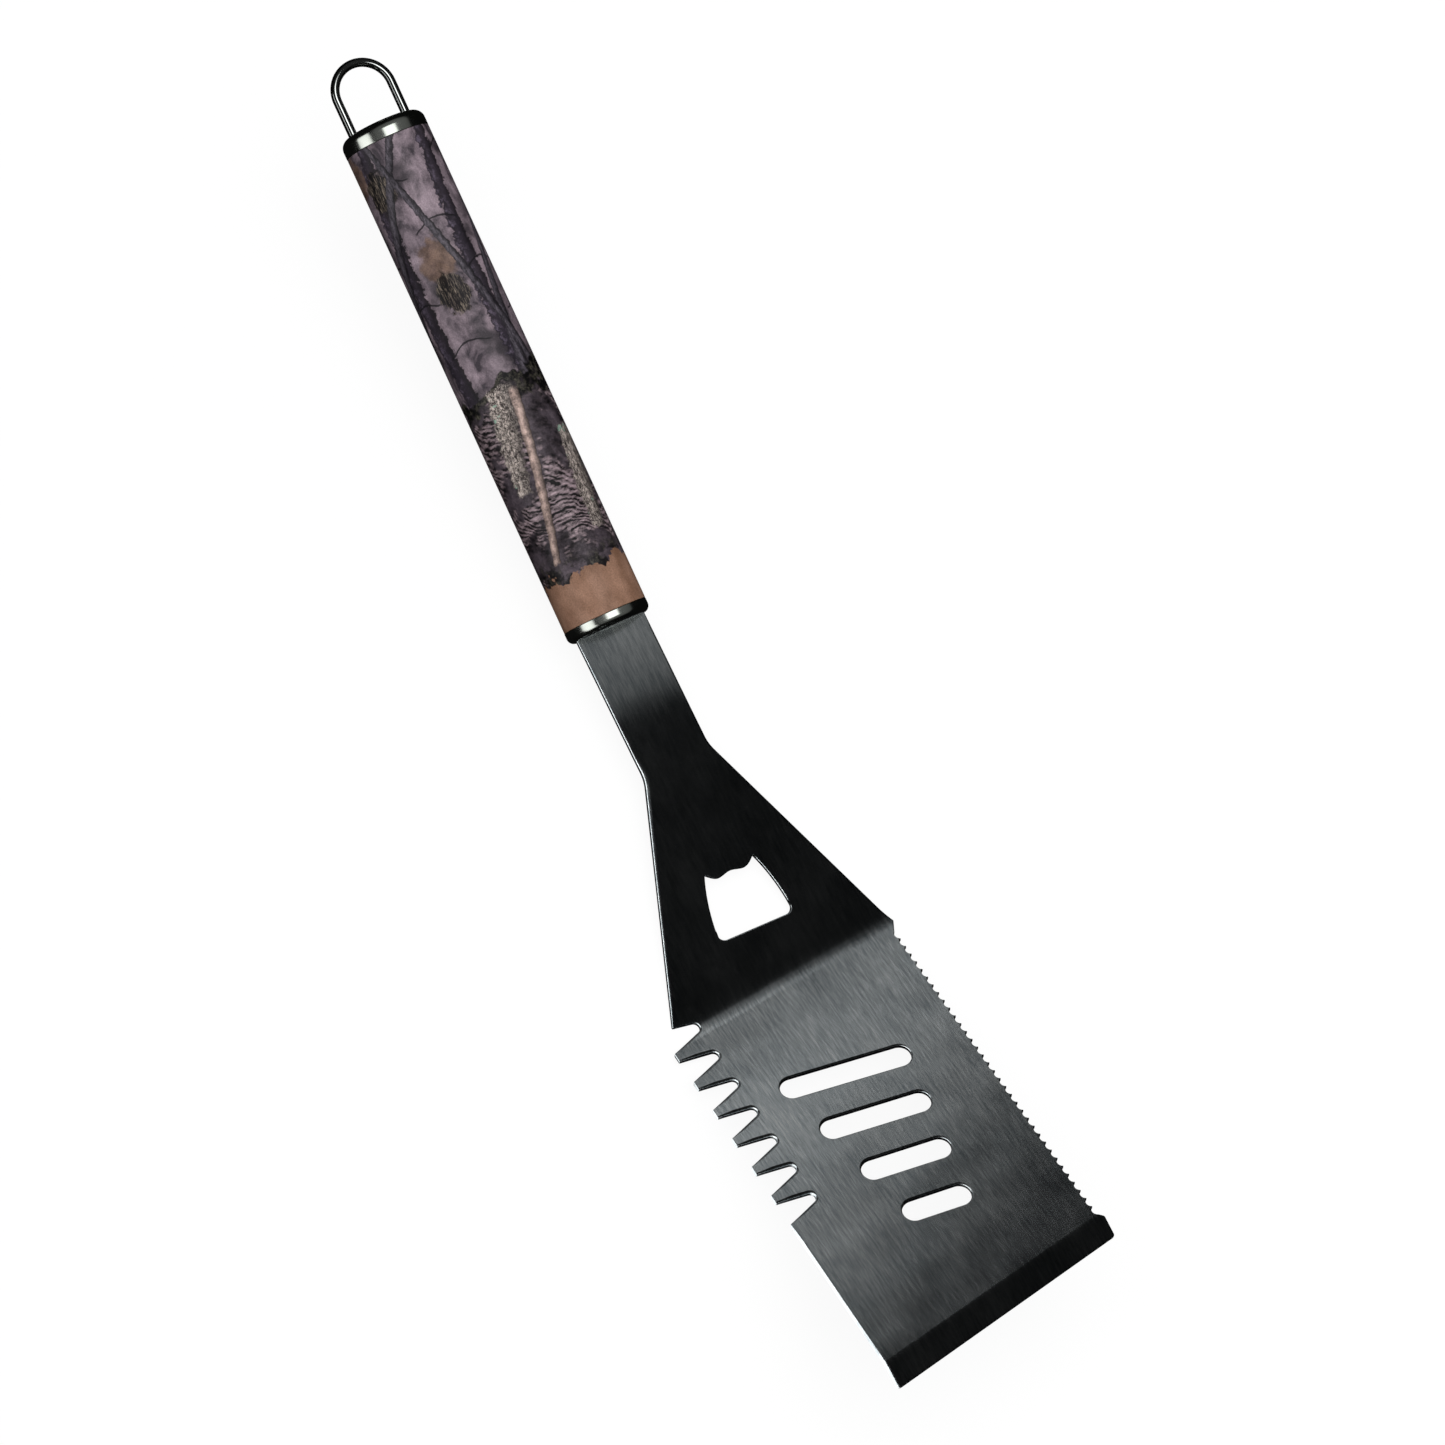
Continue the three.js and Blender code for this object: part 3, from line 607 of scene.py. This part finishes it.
# ---- Stamping -----------------------------------------------------------------------
def toothed_edge():
    flare = math.tan(math.radians(FLARE_LEFT))
    corners = []
    for i in range(TOOTH_COUNT + 1):
        tip = TOOTH_FIRST + i * TOOTH_PITCH
        apex = (tip - NOTCH_APEX_BACK, BLADE_LEFT + NOTCH_APEX_DEPTH, NOTCH_RADIUS)
        mouth = [tip - TOOTH_PITCH + TOOTH_TIP, BLADE_LEFT]
        if i == 0:  # the first notch opens on the flare
            slope = (apex[0] - mouth[0]) / NOTCH_APEX_DEPTH
            gap = -NECK_WIDTH / 2 - (mouth[0] - NECK_END_LEFT) * flare - BLADE_LEFT
            rise = gap / (1 + slope * flare)
            mouth = [mouth[0] + rise * slope, mouth[1] + rise]
        corners += [(*mouth, NOTCH_MOUTH_RADIUS), apex, (tip, BLADE_LEFT, NOTCH_MOUTH_RADIUS)]
    return corners


def serrated_edge():
    half, facets = SERRATION_PITCH / 2, 8
    radius = (half * half + SERRATION_DEPTH * SERRATION_DEPTH) / (2 * SERRATION_DEPTH)
    opening = math.asin(half / radius)
    centre = BLADE_RIGHT - SERRATION_INSET - SERRATION_DEPTH + radius
    corners = []
    for i in reversed(range(SERRATION_COUNT)):
        middle = SERRATION_FIRST + (i + 0.5) * SERRATION_PITCH
        for k in range(facets):
            angle = opening * (1 - 2 * k / facets)
            corners.append((middle + radius * math.sin(angle), centre - radius * math.cos(angle), 0))
    return corners


def outline():
    half, tang = NECK_WIDTH / 2, TANG_WIDTH / 2
    skew = math.tan(math.radians(TIP_SKEW))
    flare_run = (BLADE_RIGHT - half) / math.tan(math.radians(FLARE_RIGHT))
    return rounded([
        (TANG_END, -tang, 2), (TANG_SHOULDER, -tang, 0.4), (TANG_SHOULDER, -half, 0.4),
        (NECK_END_LEFT, -half, FLARE_FILLET, NECK_CORNER_ROLL), *toothed_edge(),
        (TIP_AT - BLADE_LEFT * skew, BLADE_LEFT, TIP_CORNER),
        (TIP_AT - BLADE_RIGHT * skew, BLADE_RIGHT, TIP_CORNER),
        (SERRATION_SHOULDER, BLADE_RIGHT, SERRATION_SHOULDER_RADIUS), *serrated_edge(),
        (NECK_END_RIGHT + flare_run, BLADE_RIGHT, 0.5), (NECK_END_RIGHT, half, FLARE_FILLET),
        (TANG_SHOULDER, half, 0.4), (TANG_SHOULDER, tang, 0.4), (TANG_END, tang, 2),
    ])


def drain_slot(i):
    slant = -math.radians(SLOT_SLANT - i * SLOT_FAN)
    run, radius = (SLOT_LENGTH - i * SLOT_SHRINK - SLOT_WIDTH) / 2, SLOT_WIDTH / 2
    centre = Vector((SLOT_FIRST + i * SLOT_PITCH, SLOT_OFFSET))
    ends = arc(0, run, radius, 0, 180, 20) + arc(0, -run, radius, 180, 360, 20)
    return [(Matrix.Rotation(slant, 2) @ Vector(p) + centre, 1.0) for p in ends]


def spline(points, steps):
    """Catmull-Rom curve through the points, with the open ends doubled."""
    chain = [points[0], *points, points[-1]]
    result = []
    for a, b, c, d in zip(chain, chain[1:], chain[2:], chain[3:]):
        for k in range(steps):
            u = k / steps
            result.append(
                0.5 * (2 * b + (c - a) * u + (2 * a - 5 * b + 4 * c - d) * u * u
                       + (3 * b - a - 3 * c + d) * u ** 3)
            )
    return [*result, points[-1]]


def bottle_opener():
    ear, tab, bulge, base = map(Vector, (OPENER_EAR, OPENER_TAB, OPENER_SIDE, OPENER_BASE))
    lip = [Vector((ear.x, -ear.y)), Vector((tab.x, -tab.y)), Vector((OPENER_LIP, 0)), tab, ear]
    side, facets = [], 10
    for k in range(1, facets):
        u = k / facets
        side.append(ear * (1 - u) ** 2 + bulge * 2 * u * (1 - u) + base * u * u)
    loop = [(p.x, p.y, 0) for p in spline(lip, 8)]
    loop += [(p.x, p.y, 0) for p in side]
    loop += [(base.x, base.y, OPENER_CORNER), (base.x, -base.y, OPENER_CORNER)]
    loop += [(p.x, -p.y, 0) for p in reversed(side)]
    pivot, shift = Vector((tab.x, 0)), Vector((0, OPENER_CENTRE))
    turn = Matrix.Rotation(-math.radians(OPENER_TURN), 2)
    return [(turn @ (p - pivot) + pivot + shift, share) for p, share in rounded(loop)]


def rivet_hole(station):
    return [(Vector(p), 1.0) for p in arc(station, 0, RIVET_HOLE, 0, 360, 32)[:-1]]


def edge_profile():
    """(inset, height, outward normal part, upward normal part) rows down the sheet's edge.

    The punch pulls the food side down into a shallow rolled corner. The other side is nearly square.
    """
    rows = []
    for k in range(ROLL_STEPS + 1):
        a = math.radians(90 * k / ROLL_STEPS)
        out, up = math.sin(a), math.cos(a)
        height = SHEET / 2 - ROLL_DEPTH * (1 - up)
        rows.append((ROLL_WIDTH * (1 - out), height, out / ROLL_WIDTH, up / ROLL_DEPTH))
    for k in range(BURR_STEPS + 1):
        a = math.radians(90 + 90 * k / BURR_STEPS)
        out, up = math.sin(a), math.cos(a)
        rows.append((BURR * (1 - out), -SHEET / 2 + BURR * (1 + up), out, up))
    return rows


def inward(loop):
    """Mitred insets of a closed loop for a unit edge, pointing to the left of its direction."""
    result = []
    for before, here, after in zip([loop[-1], *loop[:-1]], loop, [*loop[1:], loop[0]]):
        one, two = (here - before).normalized(), (after - here).normalized()
        one, two = Vector((-one.y, one.x)), Vector((-two.y, two.x))
        both = (one + two).normalized()
        result.append(both / max(both.dot(one), 0.45))
    return result


def signed_area(chain):
    loop = [point for point, _ in chain]
    return sum(a.cross(b) for a, b in zip(loop, [*loop[1:], loop[0]])) / 2


def inside(point, ring):
    crossings = 0
    for a, b in zip(ring, [*ring[1:], ring[0]]):
        a, b = a.co, b.co
        if (a.y > point.y) != (b.y > point.y):
            crossings += point.x < a.x + (point.y - a.y) * (b.x - a.x) / (b.y - a.y)
    return crossings % 2 == 1


def serrated(point):
    return point.y > 38 and 122 < point.x < 246


def spatula_blade():
    body = outline()
    holes = [bottle_opener(), *map(rivet_hole, RIVETS_AT), *map(drain_slot, range(SLOT_COUNT))]
    loops = [body if signed_area(body) > 0 else body[::-1]]
    loops += [hole if signed_area(hole) < 0 else hole[::-1] for hole in holes]
    loops = [with_steps(loop) for loop in loops]

    bm = bmesh.new()
    slant = bm.verts.layers.float_vector.new("slant")
    profile = edge_profile()
    top_rings, bottom_rings = [], []
    for chain in loops:
        loop = [point for point, _ in chain]
        trim = 1.0 if chain is loops[0] else OPENING_ROLL
        shares = [SERRATION_ROLL if serrated(p) else trim * share for p, share in chain]
        insets = inward(loop)
        rows = []
        for inset, height, out, up in profile:
            row = []
            for p, direction, share in zip(loop, insets, shares):
                spot = p + direction * inset * share
                vertex = bm.verts.new((spot.x, spot.y, height))
                away = -direction.normalized()
                vertex[slant] = Vector((away.x * out, away.y * out, up)).normalized()
                row.append(vertex)
            rows.append(row)
        for upper, lower in zip(rows, rows[1:]):
            for k in range(len(loop)):
                n = (k + 1) % len(loop)
                bm.faces.new((upper[k], lower[k], lower[n], upper[n]))
        top_rings.append(rows[0])
        bottom_rings.append(rows[-1])

    for rings, flip in ((top_rings, False), (bottom_rings, True)):
        verts = [v for ring in rings for v in ring]
        edges, base = [], 0
        for ring in rings:
            edges += [(base + k, base + (k + 1) % len(ring)) for k in range(len(ring))]
            base += len(ring)
        spots = [v.co.xy for v in verts]
        _, _, faces, origin, _, _ = delaunay_2d_cdt(spots, edges, [], 1, 1e-6)
        for face in faces:
            corners = [verts[origin[i][0]] for i in face]
            centre = sum((v.co.xy for v in corners), Vector((0, 0))) / len(corners)
            if not any(inside(centre, ring) for ring in rings[1:]):
                bm.faces.new(corners[::-1] if flip else corners)

    for at, skew, angle, radius in BENDS:
        length, turn = radius * math.radians(abs(angle)), math.radians(skew)
        cuts = max(4, round(abs(angle)))
        for k in range(cuts + 1):
            place = at + length * (k / cuts - 0.5) / math.cos(turn)
            geometry = [*bm.verts, *bm.edges, *bm.faces]
            across = (math.cos(turn), math.sin(turn), 0)
            bmesh.ops.bisect_plane(bm, geom=geometry, plane_co=(place, 0, 0), plane_no=across, dist=1e-5)
    bmesh.ops.triangulate(bm, faces=[f for f in bm.faces if len(f.verts) > 4])

    flat = bm.loops.layers.uv.new("flat")
    for face in bm.faces:
        for corner in face.loops:
            corner[flat].uv = corner.vert.co.xy * MM
    normals = []
    for vertex in bm.verts:
        place, lean = vertex.co.copy(), vertex[slant].normalized()
        vertex.co = folded(*place)
        normals.append(TURN @ (folded(*(place + lean * 0.01)) - vertex.co).normalized())
    bmesh.ops.recalc_face_normals(bm, faces=bm.faces)
    mesh = as_mesh(bm, "spatula_blade")
    mesh.transform(PLACE)
    for face in mesh.polygons:
        face.use_smooth = True
    mesh.normals_split_custom_set_from_vertices(normals)
    piece = new_object("blade_sheet", mesh, BRUSHED)
    stand_for(piece, "spatula_blade")
    return piece


# ---- Handle -------------------------------------------------------------------------
def cap_profile(rim, band):
    """A cap opens towards -X: rounded rim, polished band, and a skirt inside the tube."""
    edge = 0.25
    outer = [(0, 0)]
    outer += [(HANDLE_RADIUS - rim + y, -rim + x) for x, y in arc(0, 0, rim, 0, 90, 24)]
    outer += [(HANDLE_RADIUS - edge + y, -band + edge + x) for x, y in arc(0, 0, edge, 90, 180, 6)]
    outer += [(SKIRT_OUTER, -band), (SKIRT_OUTER, -CAP_DEPTH), (SKIRT_INNER, -CAP_DEPTH)]
    outer += [(SKIRT_INNER, -CAP_FACE), (0, -CAP_FACE)]
    return outer


def front_cap():
    cap = turned("front_cap_shell", cap_profile(FRONT_RIM, FRONT_BAND), CAP_SIDES, CAP_METAL)
    size = (4, NECK_WIDTH + 2 * CLEARANCE, SHEET + 2 * CLEARANCE + NECK_SLOT_EASE)
    bm = bmesh.new()
    bmesh.ops.create_cube(bm, size=1)
    bmesh.ops.scale(bm, verts=bm.verts, vec=size)
    bmesh.ops.translate(bm, verts=bm.verts, vec=(0.7, 0, 0))
    lengthwise = [e for e in bm.edges if abs(e.verts[0].co.x - e.verts[1].co.x) > 1]
    bmesh.ops.bevel(bm, geom=lengthwise, offset=0.5, segments=5, profile=0.5, affect="EDGES")
    slot = new_object("neck_slot", as_mesh(bm, "neck_slot"), CAP_METAL)
    cut(cap, [slot])
    finish_piece(cap)
    stand_for(cap, "front_cap")
    return cap


def rear_cap():
    cap = turned("rear_cap_shell", cap_profile(REAR_RIM, REAR_BAND), CAP_SIDES, CAP_METAL)
    drills, bore = [], WIRE / 2 + WIRE_CLEARANCE
    for side in (-1, 1):
        drill = turned("drill", [(0, 3), (bore, 3), (bore, -3), (0, -3)], 48, CAP_METAL)
        drill.data.transform(Matrix.Translation((0, side * LOOP_SPACING / 2, 0)))
        drills.append(drill)
    cut(cap, drills)
    cap.data.transform(Matrix.Translation((-HANDLE_LENGTH, 0, 0)) @ Matrix.Rotation(math.pi, 4, "Z"))
    finish_piece(cap)
    stand_for(cap, "rear_cap")
    return cap


def printed_sleeve():
    """The film's two ends overlap along a seam on the underside."""
    sides, stations, lap, edge, gap = 256, 40, 0.1, 0.12, 0.04
    front, back = -FRONT_BAND - gap, -HANDLE_LENGTH + REAR_BAND + gap
    section = [(-SLEEVE_WALL, front), (-edge, front)]
    section += [(-edge + edge * math.sin(a), front - edge + edge * math.cos(a))
                for a in (math.radians(30 * k) for k in range(1, 4))]
    for k in range(1, stations):
        section.append((0, front - edge + (back - front + 2 * edge) * k / stations))
    section += [(-edge + edge * math.cos(a), back + edge - edge * math.sin(a))
                for a in (math.radians(30 * k) for k in range(4))]
    section.append((-SLEEVE_WALL, back))
    bm = bmesh.new()
    columns = []
    for k in range(sides + 1):
        turn = -math.pi + 2 * math.pi * k / sides
        radius = HANDLE_RADIUS - lap * (1 - k / sides)
        columns.append([
            bm.verts.new((x, (radius + dr) * math.sin(turn), (radius + dr) * math.cos(turn)))
            for dr, x in section
        ])
    columns.append(columns[0])
    count = len(section)
    flat = bm.loops.layers.uv.new("flat")
    for i, (one, two) in enumerate(zip(columns, columns[1:])):
        for k in range(count):
            n = (k + 1) % count
            face = bm.faces.new((one[k], one[n], two[n], two[k]))
            for corner, column in zip(face.loops, (i, i, i + 1, i + 1)):
                turn = -math.pi + 2 * math.pi * min(column, sides) / sides - PRINT_FRONT
                corner[flat].uv = ((front - corner.vert.co.x) * MM, HANDLE_RADIUS * turn * MM)
    bmesh.ops.recalc_face_normals(bm, faces=bm.faces)
    sleeve = new_object("sleeve_film", as_mesh(bm, "sleeve_film"), PRINT)
    finish_piece(sleeve, 40)
    stand_for(sleeve, "printed_sleeve")
    return sleeve


def hanging_loop():
    radius = LOOP_SPACING / 2
    crown = -HANDLE_LENGTH - LOOP_REACH + radius
    legs = -HANDLE_LENGTH + LOOP_LEG_INSIDE
    on_leg, on_crown = 12, 72
    path = [((legs + (crown - legs) * k / on_leg, -radius), (-1, 0)) for k in range(on_leg)]
    for k in range(on_crown + 1):
        a = math.radians(180 * k / on_crown)
        path.append(((crown - radius * math.sin(a), -radius * math.cos(a)), (-math.cos(a), math.sin(a))))
    path += [((crown + (legs - crown) * k / on_leg, radius), (1, 0)) for k in range(1, on_leg + 1)]
    sides, wire, chamfer = 40, WIRE / 2, 0.4
    bm = bmesh.new()
    rings = []
    (x, y), (dx, dy) = path[0]
    path = [((x - dx * chamfer, y), (dx, dy)), *path]
    (x, y), (dx, dy) = path[-1]
    path.append(((x + dx * chamfer, y), (dx, dy)))
    for i, ((x, y), (dx, dy)) in enumerate(path):
        reach = wire - chamfer if i in (0, len(path) - 1) else wire
        ring = []
        for k in range(sides):
            a = 2 * math.pi * k / sides
            aside, up = reach * math.cos(a), reach * math.sin(a)
            ring.append(bm.verts.new((x - dy * aside, y + dx * aside, up)))
        rings.append(ring)
    for one, two in zip(rings, rings[1:]):
        for k in range(sides):
            n = (k + 1) % sides
            bm.faces.new((one[k], one[n], two[n], two[k]))
    bm.faces.new(rings[0])
    bm.faces.new(rings[-1][::-1])
    bmesh.ops.recalc_face_normals(bm, faces=bm.faces)
    piece = new_object("wire_loop", as_mesh(bm, "wire_loop"), WIRE_METAL)
    finish_piece(piece)
    stand_for(piece, "hanging_loop")
    return piece


def inner_pieces():
    finishes = {
        "handle_tube": TUBE_METAL, "rear_plug": PLASTIC, "core_half_upper": PLASTIC,
        "core_half_lower": PLASTIC, "tang_rivet_front": RIVET_METAL, "tang_rivet_rear": RIVET_METAL,
    }
    for name, material in finishes.items():
        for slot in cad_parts[name].material_slots:
            slot.material = material


blade = spatula_blade()
handle = [front_cap(), rear_cap(), printed_sleeve()]
loop = hanging_loop()
inner_pieces()


# ---- Stage --------------------------------------------------------------------------
def floor():
    mesh = bpy.data.meshes.new("floor")
    reach = 12
    corners = [(-reach, -reach, 0), (reach, -reach, 0), (reach, reach, 0), (-reach, reach, 0)]
    mesh.from_pydata(corners, [], [(0, 1, 2, 3)])
    net = Net("floor")
    net.set(Base_Color=(0.1, 0.1, 0.1, 1), Roughness=0.9)
    net.set(Emission_Color=(1, 1, 1, 1), Emission_Strength=0.92)
    plane = new_object("floor", mesh, net.material)
    plane.location.z = cad_low[2]
    plane.visible_glossy = False
    plane.visible_diffuse = False
    plane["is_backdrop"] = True


def panel(name, centre, aim, size, glow, soft=0.2, only=(), **settings):
    """Softbox at centre, facing aim, in metres in the part's frame, that fades out at its edges.

    glow is its brightness, and only lists the pieces that it lights, if not all of them.
    """
    light = bpy.data.lights.new(name, "AREA")
    light.shape, (light.size, light.size_y) = "RECTANGLE", size
    light.energy = glow * math.pi * size[0] * size[1]
    light.use_nodes = True
    tree = light.node_tree
    emission = tree.nodes["Emission"]
    spot = tree.nodes.new("ShaderNodeNewGeometry").outputs["Parametric"]
    parts = tree.nodes.new("ShaderNodeSeparateXYZ")
    tree.links.new(spot, parts.inputs[0])
    strength = None
    for axis in (0, 1):
        fade = tree.nodes.new("ShaderNodeFloatCurve")
        line = fade.mapping.curves[0]
        line.points[0].location, line.points[1].location = (0, 0), (1, 0)
        line.points.new(soft, 1)
        line.points.new(1 - soft, 1)
        fade.mapping.update()
        tree.links.new(parts.outputs[axis], fade.inputs["Value"])
        if strength is None:
            strength = fade.outputs[0]
        else:
            product = tree.nodes.new("ShaderNodeMath")
            product.operation = "MULTIPLY"
            tree.links.new(strength, product.inputs[0])
            tree.links.new(fade.outputs[0], product.inputs[1])
            tree.links.new(product.outputs[0], emission.inputs["Strength"])
    lamp = bpy.data.objects.new(name, light)
    lamp.location = centre
    lamp.rotation_euler = (Vector(aim) - Vector(centre)).to_track_quat("-Z", "Y").to_euler()
    for key, value in settings.items():
        setattr(lamp, key, value)
    bpy.context.scene.collection.objects.link(lamp)
    if only:
        lamp.light_linking.receiver_collection = bpy.data.collections.new(name)
        for piece in only:
            lamp.light_linking.receiver_collection.objects.link(piece)


def surroundings():
    world = bpy.data.worlds.new("studio")
    bpy.context.scene.world = world
    world.use_nodes = True
    tree = world.node_tree
    tree.nodes.clear()
    path = tree.nodes.new("ShaderNodeLightPath")
    seen, felt = tree.nodes.new("ShaderNodeBackground"), tree.nodes.new("ShaderNodeBackground")
    seen.inputs[0].default_value = (0.9, 0.9, 0.9, 1)
    felt.inputs[0].default_value = (0.004, 0.004, 0.004, 1)
    mix, out = tree.nodes.new("ShaderNodeMixShader"), tree.nodes.new("ShaderNodeOutputWorld")
    tree.links.new(path.outputs["Is Camera Ray"], mix.inputs[0])
    tree.links.new(felt.outputs[0], mix.inputs[1])
    tree.links.new(seen.outputs[0], mix.inputs[2])
    tree.links.new(mix.outputs[0], out.inputs[0])


def camera():
    """The camera looks at the tool from above its food side, from the toothed edge's side."""
    toward = Vector((0.02, -0.34, 0.94021)).normalized()
    roll = math.radians(65.358)
    ahead = Vector((1, 0, 0))
    up = (ahead - toward * ahead.dot(toward)).normalized()
    side = toward.cross(up)
    right = up * math.cos(roll) + side * math.sin(roll)
    down = up * math.sin(roll) - side * math.cos(roll)
    turn = Matrix((right, -down, toward)).transposed()
    data = bpy.data.cameras.new("camera")
    data.lens, data.sensor_width = 149.5, 36
    data.clip_end = 100
    eye = bpy.data.objects.new("camera", data)
    place = PLACE @ Vector((79.37, -621.84, 1777.29))
    eye.matrix_world = Matrix.Translation(place) @ (TURN @ turn).to_4x4()
    bpy.context.scene.collection.objects.link(eye)
    bpy.context.scene.camera = eye


floor()
surroundings()
panel("overhead", (0.1, -0.2, 3), (0, 0, 0), (5, 5), 1.75, visible_glossy=False)
panel("behind", (0, 1.5, 0.6), (0, 0, 0), (3, 1.2), 0.25, visible_glossy=False)
panel("handle_over", (-0.02, 0.02, 1.0), (-0.02, 0.02, 0), (0.6, 0.62), 1.6, 0.12, only=handle)
panel("handle_side", (-0.05, -1.0, 0.36), (-0.05, 0, 0.02), (1.6, 0.74), 1.2, 0.12, only=handle)
panel("handle_fill", (0, 0.2, 1.6), (0, 0, 0), (4, 4), 0.12, 0.3, only=handle)
panel("loop_over", (-0.1, -0.02, 1.0), (-0.1, -0.02, 0), (0.7, 0.4), 2.2, 0.1, only=[loop])
panel("loop_side", (-0.1, -1.0, 0.5), (-0.1, 0, 0.02), (1.2, 0.24), 0.9, 0.1, only=[loop])
panel("loop_fill", (-0.2, 0.2, 1.6), (-0.2, 0, 0), (4, 4), 0.02, 0.3, only=[loop])
for name, x, y, height, size, glow in (
    ("blade_left_1", -0.29, 0.0, 0.3, (0.16, 0.26), 0.06),
    ("blade_left_2", -0.2, -0.01, 0.3, (0.16, 0.26), 0.56),
    ("blade_left_3", -0.12, -0.02, 0.3, (0.16, 0.26), 0.32),
    ("blade_right", -0.55, 0.42, 0.5, (0.3, 0.22), 1.2),
):
    panel(name, (x, y, height), (x, y, 0), size, glow, 0.35, only=[blade])
panel("blade_teeth", (-0.225, 0.055, 0.3), (-0.225, 0.055, 0), (0.24, 0.16), 2.6, 0.4, only=[blade])
panel("blade_neck", (-0.08, 0.02, 0.075), (-0.08, 0.02, 0), (0.15, 0.16), 0.19, 0.25, only=[blade])
panel("blade_side", (0.1, -0.7, 0.2), (0.1, 0, 0), (1.4, 0.32), 2.8, 0.08, only=[blade])
panel("blade_skirt", (0.17, -0.148, 0.0004), (0, 0, 0), (0.24, 0.21), 1.6, 0.01, only=[blade],
      rotation_euler=(math.pi, 0, 0))
camera()
view = bpy.context.scene.view_settings
view.view_transform = "Standard"
